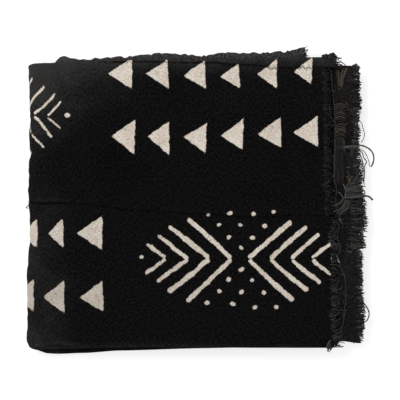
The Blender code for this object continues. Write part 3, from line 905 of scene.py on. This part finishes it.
# How much shorter some yarns are at each end, over how far they fall and by how much
fringeFall = dict(top=dict(shorter=(0.45, 0.85), over=0.009, share=(0.45, 1.0)),
                  under=dict(shorter=(0.75, 0.95), over=0.014, drop=(0.5, 3.2)))
hiddenComb = dict(radius=0.50, length=7.0, curl=0.7, lift=0.0, light=0.2, pull=0.3)
shortComb = dict(spacing=0.9, radius=0.52, length=5.0, curl=0.9, lift=0.0, light=0.3, pull=0.5)
fullComb = dict(spacing=0.44, radius=0.49, curl=0.7, lift=0.6, light=0.56, pull=0.65)
fringeRows = {
    ("top", 1): dict(spacing=2.4, radius=0.40, length=6.0, curl=1.0, lift=0.0, light=0.3, pull=0.2),
    ("top", 2): dict(spacing=0.9, radius=0.40, length=5.5, curl=1.6, lift=0.5, light=0.4, pull=0.2),
    ("top", 3): dict(spacing=0.70, radius=0.36, length=9.5, curl=3.4, lift=1.3, light=0.34, pull=0.2),
    ("top", 4): dict(spacing=0.70, radius=0.40, length=10.5, curl=2.8, lift=1.6, light=0.50, pull=0.5),
    ("top", 5): dict(spacing=2.4, radius=0.40, length=7.0, curl=1.2, lift=0.0, light=0.3, pull=0.2),
    ("top", 6): dict(spacing=1.1, radius=0.42, length=5.0, curl=2.4, lift=0.4, light=0.5, pull=0.2),
    ("under", 1): dict(hiddenComb, spacing=1.6),
    ("under", 2): dict(hiddenComb, spacing=1.4),
    ("under", 3): shortComb,
    ("under", 4): shortComb,
    ("under", 5): fullComb,
    ("under", 6): fullComb,
}


def fringeReach(number, end, place):
    # How long the warp ends are at a place
    row = fringeRows[end, number]
    if "length" in row:
        return row["length"] * mm
    tip = softCurve(underTipRows, (2 * lowFoldY - lowFoldLength - place) / mm)
    return mm * float(tip - softCurve(stripEnds[number]["under"], place / mm)) - pile["underEndX"]


def fringeYarn(number, end, place, chance):
    # One warp end: it leaves the weave, turns as it goes, and comes to rest lower down
    row, fall, steps = fringeRows[end, number], fringeFall[end], fringe["steps"]
    shorter = chance.uniform(*fall["shorter"])
    length = fringeReach(number, end, place) * chance.choice((shorter, chance.uniform(*fringe["full"])))
    heading, curl = chance.gauss(0, fringe["heading"]), chance.gauss(0, row["curl"] * 0.5)
    outs, asides = [-fringe["root"] * mm, 0.0], [0.0, 0.0]
    for step in range(1, steps):
        turn = heading + curl * (step / steps) ** fringe["turnPower"]
        outs.append(outs[-1] + length / (steps - 1) * math.cos(turn))
        asides.append(asides[-1] + length / (steps - 1) * math.sin(turn))
    outs, asides = np.array(outs), np.array(asides)
    share = np.linspace(0, 1, steps + 1)
    tooth = (math.floor(place / mm / fringe["clump"]) + 0.5) * fringe["clump"] * mm
    asides += row["pull"] * (tooth - place) * smooth(share * 1.4)
    ends = 0.0 if end == "top" else clothLength
    along = slanted(number, ends + (-outs if end == "top" else outs), place)
    push = ragged(number, np.full(1, ends), np.full(1, place))[0] - ends
    lift = row["lift"] * mm * np.sin(np.pi * share) * chance.uniform(*fringe["rise"])
    offset = fringe["offset"] * chance.uniform(-1, 1) * mm
    points = foldPoints(along + push, place + asides, offset, lift)
    fallen = smooth(np.maximum(outs, 0) / fall["over"])
    if end == "top":
        rest = runLevel(2) + pitch + halfThick + fringe["restHeight"] * mm
        points[:, 2] += fallen * (rest - points[:, 2]) * chance.uniform(*fall["share"])
    else:
        points[:, 2] -= fallen * chance.uniform(*fall["drop"]) * mm
    radii = row["radius"] * mm * chance.uniform(*fringe["thick"]) * (1 - fringe["taper"] * share)
    tint = row["light"] * chance.uniform(0.05, 1.0) ** fringe["tintPower"]
    return dict(points=points, radii=radii, tint=tint)


def makeFringe(number, end):
    rawEnd = np.array([0.0 if end == "top" else clothLength])
    upper, lower = (float(edge[0]) for edge in stripEdges(number, rawEnd))
    chance = random.Random(f"{end}{number}")
    yarns = []
    place = lower + 0.0008
    while place < upper - 0.0006:
        yarns.append(fringeYarn(number, end, place, chance))
        place += fringeRows[end, number]["spacing"] * mm * chance.uniform(0.6, 1.4)
    name = f"{end}Fringe{number}"
    return addPiece(name, yarnMesh(name, yarns), frayedYarn)


# Yarns that hang loose, as rows of (x, y) in millimetres seen from above. They lie on
# whatever is below, unless they have a level of their own.
loose = dict(thicker=1.25, waver=0.45, uneven=0.18, unevenSize=0.0021,
             topFade=0.004, hangX=0.162, hangReach=0.018, hang=0.006)
topEndRows = [(-160, 140.0), (-20, 138.0), (-14, 131.0), (138, 130.0), (143, 142.0), (160, 142.0)]
looseYarns = [
    dict(rows=[(133.5, 139.5), (136.7, 137.2), (138.4, 134.2), (138.6, 124.3), (140.1, 112.4), (141.3, 97.7),
               (142.4, 77.7), (142.0, 53.6), (141.0, 40.3), (141.3, 23.6), (142.7, 17.0), (143.6, 10.4),
               (142.8, 0.0), (144.2, -7.1), (146.4, -14.4), (147.4, -20.8), (146.4, -27.3), (144.4, -37.8),
               (144.9, -49.4), (143.9, -58.1), (146.4, -65.9), (148.5, -71.7), (151.4, -78.9), (152.8, -84.0),
               (153.5, -93.1), (153.2, -107.4), (152.0, -114.7), (151.4, -124.6), (149.9, -132.5),
               (147.7, -143.3), (146.4, -150.2)], radius=0.38, tint=0.38),
    dict(rows=[(136.4, 101.0), (136.7, 91.0), (140.0, 83.7), (142.6, 79.0), (143.0, 66.0)],
         radius=0.40, tint=0.4),
    dict(rows=[(143.5, -57.6), (144.6, -61.0), (146.6, -66.2)], radius=0.55, tint=0.6, bare=0.9, lift=0.9),
    dict(rows=[(147.0, -19.5), (147.5, -22.5)], radius=0.50, tint=1.0, bare=0.15, lift=0.9),
    dict(rows=[(143.3, -47.3), (147.0, -46.2), (148.1, -50.4), (145.4, -53.6), (143.3, -50.4),
               (143.6, -47.0)], radius=0.40, tint=0.6),
    # Loops and a doubled thick yarn out over the end
    dict(rows=[(163.5, 86.5), (165.9, 85.1), (170.3, 81.1), (172.2, 74.4), (173.6, 69.5), (172.2, 64.2),
               (169.9, 60.6)], radius=0.34, tint=0.5),
    dict(rows=[(151.0, 55.6), (157.9, 56.6), (163.9, 56.6), (169.9, 57.5), (175.9, 55.5), (179.9, 52.9),
               (182.6, 48.9), (183.5, 44.3), (182.6, 39.0), (180.6, 35.0)], radius=0.70, tint=0.62),
    dict(rows=[(153.0, 54.6), (160.7, 55.7), (167.3, 54.2), (172.6, 51.6), (175.9, 46.9), (178.2, 41.0),
               (178.9, 36.3), (180.6, 35.0)], radius=0.34, tint=0.7),
    dict(rows=[(167.3, 53.5), (171.2, 49.5), (172.6, 44.9), (175.9, 40.3), (173.9, 36.3), (173.6, 27.0),
               (172.6, 17.0)], radius=0.45, tint=0.25),
    dict(rows=[(168.0, 50.0), (171.0, 42.0), (172.4, 33.0), (172.0, 24.0), (173.5, 15.0)],
         radius=0.40, tint=0.2),
    dict(rows=[(153.3, 34.3), (160.7, 35.0), (167.3, 38.3)], radius=0.45, tint=0.6),
    dict(rows=[(157.3, 46.9), (159.9, 39.0), (161.9, 36.3)], radius=0.42, tint=0.5),
    dict(rows=[(154.0, 25.0), (157.0, 23.0), (158.5, 19.0)], radius=0.60, tint=0.4, rust=0.8),
    dict(rows=[(155.0, 22.0), (157.5, 19.5), (159.0, 16.0)], radius=0.50, tint=0.4, rust=0.8),
    # A knot of yarns, pulled out to the right
    dict(rows=[(152.7, 12.4), (160.0, 13.6), (168.0, 13.4), (175.2, 14.4)], radius=0.45, tint=0.45),
    dict(rows=[(151.5, 12.0), (158.0, 10.0), (166.0, 9.5), (172.6, 10.4), (174.2, 5.0)],
         radius=0.48, tint=0.5),
    dict(rows=[(152.0, 5.0), (158.0, 8.2), (164.0, 9.0), (170.0, 8.0), (173.0, 3.0)], radius=0.45, tint=0.55),
    dict(rows=[(152.0, 2.6), (158.0, 2.6), (165.0, 3.2), (175.0, 4.2), (179.2, 3.0), (182.6, -0.3)],
         radius=0.85, tint=0.5),
    dict(rows=[(153.0, 3.9), (160.0, 4.8), (168.0, 4.4), (176.0, 5.0)], radius=0.50, tint=0.45),
    dict(rows=[(152.7, 12.4), (160.0, 17.0), (164.0, 22.0), (166.0, 26.0)], radius=0.45, tint=0.6),
    dict(rows=[(152.7, 12.4), (157.0, 19.0), (160.5, 25.5)], radius=0.42, tint=0.5),
    dict(rows=[(150.5, 17.0), (153.0, 12.0), (153.2, 6.0), (152.7, 1.0)], radius=0.50, tint=0.6),
    dict(rows=[(152.7, 3.7), (149.0, -1.0), (144.7, -4.2), (141.0, -5.5)], radius=0.48, tint=0.5),
    dict(rows=[(145.5, 8.5), (148.5, 6.0), (150.8, 2.0)], radius=0.45, tint=0.7),
    dict(rows=[(171.4, -107.0), (176.0, -113.0), (178.5, -119.0), (177.5, -125.0), (174.4, -129.0)],
         radius=0.55, tint=0.4),
    dict(rows=[(144.5, 144.0), (148.0, 145.2), (151.2, 143.5), (153.4, 141.2), (154.5, 138.0)],
         radius=0.45, tint=0.2),
    dict(rows=[(143.5, 141.8), (147.0, 143.0), (150.2, 141.2), (152.5, 137.5)], radius=0.42, tint=0.2),
    # A stray end at the left fold
    dict(rows=[(-179.0, -3.0), (-182.0, -6.4), (-183.4, -8.2), (-181.0, -8.6)],
         radius=0.35, tint=0.1, level=12.0),
]

# Bundles of yarns between two lines, each from (x, y) and (x, y) to (x, y) and (x, y)
bundles = dict(
    topTuft=dict(count=46, radius=0.50, tint=0.4, bow=0.6, roots=[(129.5, 148.6), (143.5, 148.6)],
                 tips=[(128.8, 152.6), (131.0, 153.6), (134.5, 152.8), (138.3, 154.8), (141.4, 155.4),
                       (144.2, 151.2)]),
    cornerTuft=dict(count=16, radius=0.46, tint=0.4, bow=0.6, roots=[(160.5, 139.0), (166.0, 136.0)],
                    tips=[(161.5, 142.6), (165.0, 144.4), (170.0, 140.4)]),
    lowTuft=dict(count=26, radius=0.46, tint=0.5, bow=-1.6, roots=[(138.5, -146.5), (147.5, -138.0)],
                 tips=[(132.8, -158.6), (134.6, -160.4), (140.5, -157.2), (145.5, -152.0)]),
    lowCorner=dict(count=30, radius=0.44, tint=0.16, bow=0.5, roots=[(155.0, -141.0), (167.5, -136.0)],
                   tips=[(153.5, -148.5), (161.5, -152.0), (165.5, -150.0), (172.0, -140.5)]),
    bandTuft=dict(count=18, radius=0.42, tint=0.5, bow=0.6, roots=[(101.0, 154.5), (110.5, 151.5)],
                  tips=[(104.5, 158.6), (108.3, 160.8), (111.5, 156.0), (112.6, 151.5)]),
    brownYarns=dict(count=13, radius=0.30, tint=0.8, bow=-1.0, rust=0.60,
                    roots=[(149.6, 139.4), (156.0, 138.8)], tips=[(146.4, 114.0), (148.6, 117.0)]),
    fadedYarns=dict(count=7, radius=0.30, tint=0.45, bow=1.0, rust=0.35,
                    roots=[(142.2, 138.0), (145.8, 138.0)], tips=[(145.0, 108.0), (146.6, 106.0)]),
    knotFan=dict(count=26, radius=0.44, tint=0.45, bow=1.4, roots=[(154.0, 3.5), (154.0, 12.5)],
                 tips=[(174.0, 1.5), (175.5, 5.0), (174.0, 10.0), (172.0, 16.0), (167.0, 23.0)]),
    bareWarps=dict(count=26, radius=0.44, tint=0.25, bow=1.4, roots=[(141.3, 70.0), (152.0, 62.0)],
                   tips=[(141.6, 8.0), (145.5, 15.0), (150.5, 19.0)]),
    tangle=dict(count=16, radius=0.34, tint=0.04, bow=2.2, rust=0.12, waver=2.2,
                roots=[(141.5, 122.0), (149.0, 119.0)], tips=[(142.5, 101.0), (147.0, 97.0), (154.5, 103.0)]),
    looseFrays=dict(count=14, radius=0.42, tint=0.25, bow=1.6, roots=[(142.5, 142.0), (145.0, 137.5)],
                    tips=[(152.5, 139.5), (151.5, 137.0), (149.5, 134.0)]),
    fallenWarps=dict(count=20, radius=0.44, tint=0.24, bow=2.0, roots=[(150.0, 52.0), (158.0, 50.0)],
                     tips=[(151.0, 24.0), (158.0, 22.0), (165.0, 22.0)]),
    swirl=dict(count=18, radius=0.46, tint=0.45, bow=3.4, roots=[(150.0, 1.0), (159.0, -1.0)],
               tips=[(133.5, -6.0), (138.0, -13.0), (146.0, -17.0), (150.0, -14.0)]),
)
# Bared warp yarns that lie like rungs, bowed between two heights
rungs = dict(fromY=100.5, toY=52.0, pitch=2.35, left=141.6, right=153.0, bow=1.5, radius=0.52)
# Short broken ends that curl over the frayed border
curls = dict(count=120, x=(139.5, 160.0), y=(-134.0, 126.0), length=(3.0, 7.5), turn=(1.5, 4.2),
             radius=0.29, tint=0.36, rustAbove=45.0)


def restAt(x, y):
    # Height of what a loose yarn lies on
    upper, lower = (runLevel(number) + pitch + halfThick for number in (3, 2))
    onTop = smooth((mm * softCurve(topEndRows, y / mm) - x) / loose["topFade"])
    hanging = loose["hang"] * smooth((x - loose["hangX"]) / loose["hangReach"])
    return settle(x, y, lower + (upper - lower) * onTop - hanging)[2]


def smoothPath(rows, steps=5):
    # A smooth curve through rows of numbers
    rows = np.array(rows, float)
    rows = np.vstack([2 * rows[0] - rows[1], rows, 2 * rows[-1] - rows[-2]])
    share = np.linspace(0, 1, steps, endpoint=False)[:, None]
    parts = []
    for a, b, c, d in zip(rows, rows[1:], rows[2:], rows[3:]):
        bend = (2 * a - 5 * b + 4 * c - d) * share ** 2 + (3 * b - a - 3 * c + d) * share ** 3
        parts.append(b + 0.5 * ((c - a) * share + bend))
    return np.vstack(parts + [rows[-2:-1]])


def looseYarn(rows, radius, tint, rust=0.0, bare=0.0, lift=0.3, level=None):
    path = smoothPath(rows) * mm
    x, y = path[:, 0], path[:, 1]
    z = np.full(len(x), level * mm) if level else restAt(x, y)
    z = z + (radius + lift) * mm
    uneven = 1 + loose["uneven"] * lumps(x + y, y - x, loose["unevenSize"], 71)
    radii = loose["thicker"] * radius * mm * uneven
    radii[-2:] *= (0.8, 0.5)
    return dict(points=np.stack([x, y, z], axis=-1), radii=radii, tint=tint, rust=rust, bare=bare)


def bundleYarns(rows, chance):
    yarns = []
    tips = np.array(rows["tips"], float)
    marks = np.linspace(0, 1, len(tips))
    for index in range(rows["count"]):
        share = (index + chance.uniform(0, 1)) / rows["count"]
        root = [a + share * (b - a) for a, b in zip(*rows["roots"])]
        reach = chance.uniform(0.75, 1.0)
        run, rise = (reach * (np.interp(share, marks, tips[:, axis]) - root[axis]) for axis in (0, 1))
        bow = rows["bow"] * chance.uniform(0.3, 1.3) + chance.gauss(0, 0.3)
        path = []
        for gone in (0.0, 0.3, 0.65, 1.0):
            waver = rows.get("waver", loose["waver"]) * chance.gauss(0, 1) * gone
            push = (bow * math.sin(math.pi * gone) + waver) / math.hypot(run, rise)
            path.append((root[0] + gone * run - push * rise, root[1] + gone * rise + push * run))
        radius = rows["radius"] * chance.uniform(0.8, 1.2)
        tint = rows["tint"] * chance.uniform(0.15, 1.2)
        rust = rows.get("rust", 0.0) * chance.uniform(0.6, 1.2)
        yarns.append(looseYarn(path, radius, tint, rust, lift=chance.uniform(-0.5, 0.8)))
    return yarns


def rungYarns(chance):
    yarns, y = [], rungs["fromY"]
    while y > rungs["toY"]:
        left, right = rungs["left"] + chance.uniform(-0.8, 0.8), rungs["right"] + chance.uniform(-1.2, 1.2)
        middle = ((left + right) / 2, y + rungs["bow"] * chance.uniform(0.6, 1.3))
        radius = rungs["radius"] * chance.uniform(0.8, 1.15)
        tint, rust = chance.uniform(0.15, 0.50), chance.uniform(0.0, 0.45)
        path = [(left, y - 0.6), middle, (right, y - 1.0)]
        yarns.append(looseYarn(path, radius, tint, rust, lift=chance.uniform(0.2, 0.8)))
        y -= rungs["pitch"] * chance.uniform(0.8, 1.2)
    return yarns


def curlYarns(chance):
    yarns, bends = [], 3
    for _ in range(curls["count"]):
        x, y = chance.uniform(*curls["x"]), chance.uniform(*curls["y"])
        heading = chance.uniform(0, 2 * math.pi)
        turn = chance.choice((-1, 1)) * chance.uniform(*curls["turn"])
        stride = chance.uniform(*curls["length"]) / bends
        rust = chance.uniform(0.0, 0.35) if y > curls["rustAbove"] else 0.0
        path = [(x, y)]
        for step in range(bends):
            x += stride * math.cos(heading + turn * step / bends)
            y += stride * math.sin(heading + turn * step / bends)
            path.append((x, y))
        radius, tint = curls["radius"] * chance.uniform(0.8, 1.3), curls["tint"] * chance.uniform(0.0, 1.4)
        yarns.append(looseYarn(path, radius, tint, rust, lift=chance.uniform(0.1, 1.3)))
    return yarns


def makeLooseYarns():
    chance = random.Random(8)
    yarns = [looseYarn(**rows) for rows in looseYarns]
    for rows in bundles.values():
        yarns += bundleYarns(rows, chance)
    yarns += rungYarns(chance)
    yarns += curlYarns(chance)
    return addPiece("looseYarns", yarnMesh("looseYarns", yarns, sides=6), frayedYarn)


# Whip stitches: one thread that zigzags over the seam, as deep as it bites, in millimetres
fineStitch = dict(pitch=4.6, bite=1.9, radius=0.20, rust=0.02)
wideStitch = dict(pitch=6.2, bite=2.2, radius=0.30, rust=0.35)
stitch = dict(inset=4.0, sunk=0.2, raised=0.35)


def makeStitches(number):
    chance = random.Random(number)
    row = wideStitch if number == 2 else fineStitch
    pitch, bite, radius = (row[key] * mm for key in ("pitch", "bite", "radius"))
    along, side, points = stitch["inset"] * mm, 1, []
    while along < clothLength - stitch["inset"] * mm:
        points.append((along, side * bite * chance.uniform(0.75, 1.2), -stitch["sunk"] * mm))
        along += pitch / 2 * chance.uniform(0.8, 1.2)
        side = -side
    path = []
    for first, second in zip(points, points[1:]):
        for share in (0.0, 0.3, 0.7):
            mixed = [a + share * (b - a) for a, b in zip(first, second)]
            mixed[2] += stitch["raised"] * mm if share else 0.0
            path.append(mixed)
    path = np.array(path)
    place = seamPlace(number, path[:, 0]) + path[:, 1]
    offset = halfThick + path[:, 2] + seamRelief(path[:, 0], place)
    points = foldPoints(path[:, 0], place, offset)
    points[:, 2] = np.maximum(points[:, 2], radius)
    yarn = dict(points=points, radii=np.full(len(path), radius), tint=0.0, rust=row["rust"])
    name = f"seamStitches{number}"
    return addPiece(name, yarnMesh(name, [yarn], sides=4), seamThread)


strips = {number: makeStrip(number) for number in range(1, 7)}
print("strips folded")
fringes = {(number, end): makeFringe(number, end) for number in range(1, 7) for end in ("top", "under")}
hanging = makeLooseYarns()
print("fringes and loose yarns laid")
stitches = {number: makeStitches(number) for number in range(1, 6)}
print("seams whipped")

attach(hanging, "root")
for number, piece in strips.items():
    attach(piece, "root")
    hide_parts(f"strip_{number}")
    going = [fringes[number, "top"], fringes[number, "under"]] + ([hanging] if number == 4 else [])
    if number in stitches:
        going.append(stitches[number])
        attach(stitches[number], "root")
    for end in ("top", "under"):
        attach(fringes[number, end], "root")
        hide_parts(f"{end}_fringe_{number}")

# Studio
studio = dict(floorSize=6.0, floorColour=(0.56, 0.56, 0.56), floorGlow=0.58, sky=0.62,
              skyColour=(1.0, 0.995, 0.985), keyPlace=(-1.1, 1.0, 1.5), keySize=1.3, keyPower=26.0,
              fillPlace=(1.3, -0.9, 1.3), fillPower=8.0)
picture = dict(wide=0.42, lens=200.0, sensor=36.0, level=0.025)


def makeFloor():
    half = studio["floorSize"] / 2
    mesh = bpy.data.meshes.new("floor")
    corners = [(-half, -half, 0), (half, -half, 0), (half, half, 0), (-half, half, 0)]
    mesh.from_pydata(corners, [], [(0, 1, 2, 3)])
    kit = NodeKit("paleFloor")
    kit.put(kit.shader.inputs["Base Color"], rgba(studio["floorColour"]))
    kit.put(kit.shader.inputs["Roughness"], 0.9)
    kit.put(kit.shader.inputs["Emission Color"], (1.0, 1.0, 1.0, 1.0))
    kit.put(kit.shader.inputs["Emission Strength"], studio["floorGlow"])
    floor = addPiece("floor", mesh, kit.material)


def makeLight(name, place, size, power):
    light = bpy.data.lights.new(name, "AREA")
    light.shape, light.size, light.energy = "DISK", size, power
    holder = bpy.data.objects.new(name, light)
    holder.location = place
    away = math.hypot(place[0], place[1])
    holder.rotation_euler = (math.atan2(away, place[2]), 0, math.atan2(place[1], place[0]) + math.pi / 2)
    bpy.context.scene.collection.objects.link(holder)


def makeStudio():
    makeFloor()
    world = bpy.data.worlds.new("softRoom")
    world.use_nodes = True
    background = world.node_tree.nodes["Background"]
    background.inputs["Color"].default_value = rgba(studio["skyColour"])
    background.inputs["Strength"].default_value = studio["sky"]
    scene = bpy.context.scene
    scene.world = world
    makeLight("keyLight", studio["keyPlace"], studio["keySize"], studio["keyPower"])
    makeLight("fillLight", studio["fillPlace"], studio["keySize"], studio["fillPower"])
    camera = bpy.data.cameras.new("overhead")
    camera.lens, camera.sensor_width = picture["lens"], picture["sensor"]
    camera.clip_end = 20.0
    holder = bpy.data.objects.new("overhead", camera)
    holder.location = (0, 0, picture["level"] + picture["wide"] * picture["lens"] / picture["sensor"])
    scene.collection.objects.link(holder)
    scene.camera = holder
    scene.view_settings.view_transform = "Standard"
    scene.view_settings.look = "None"


makeStudio()
print("studio lit")
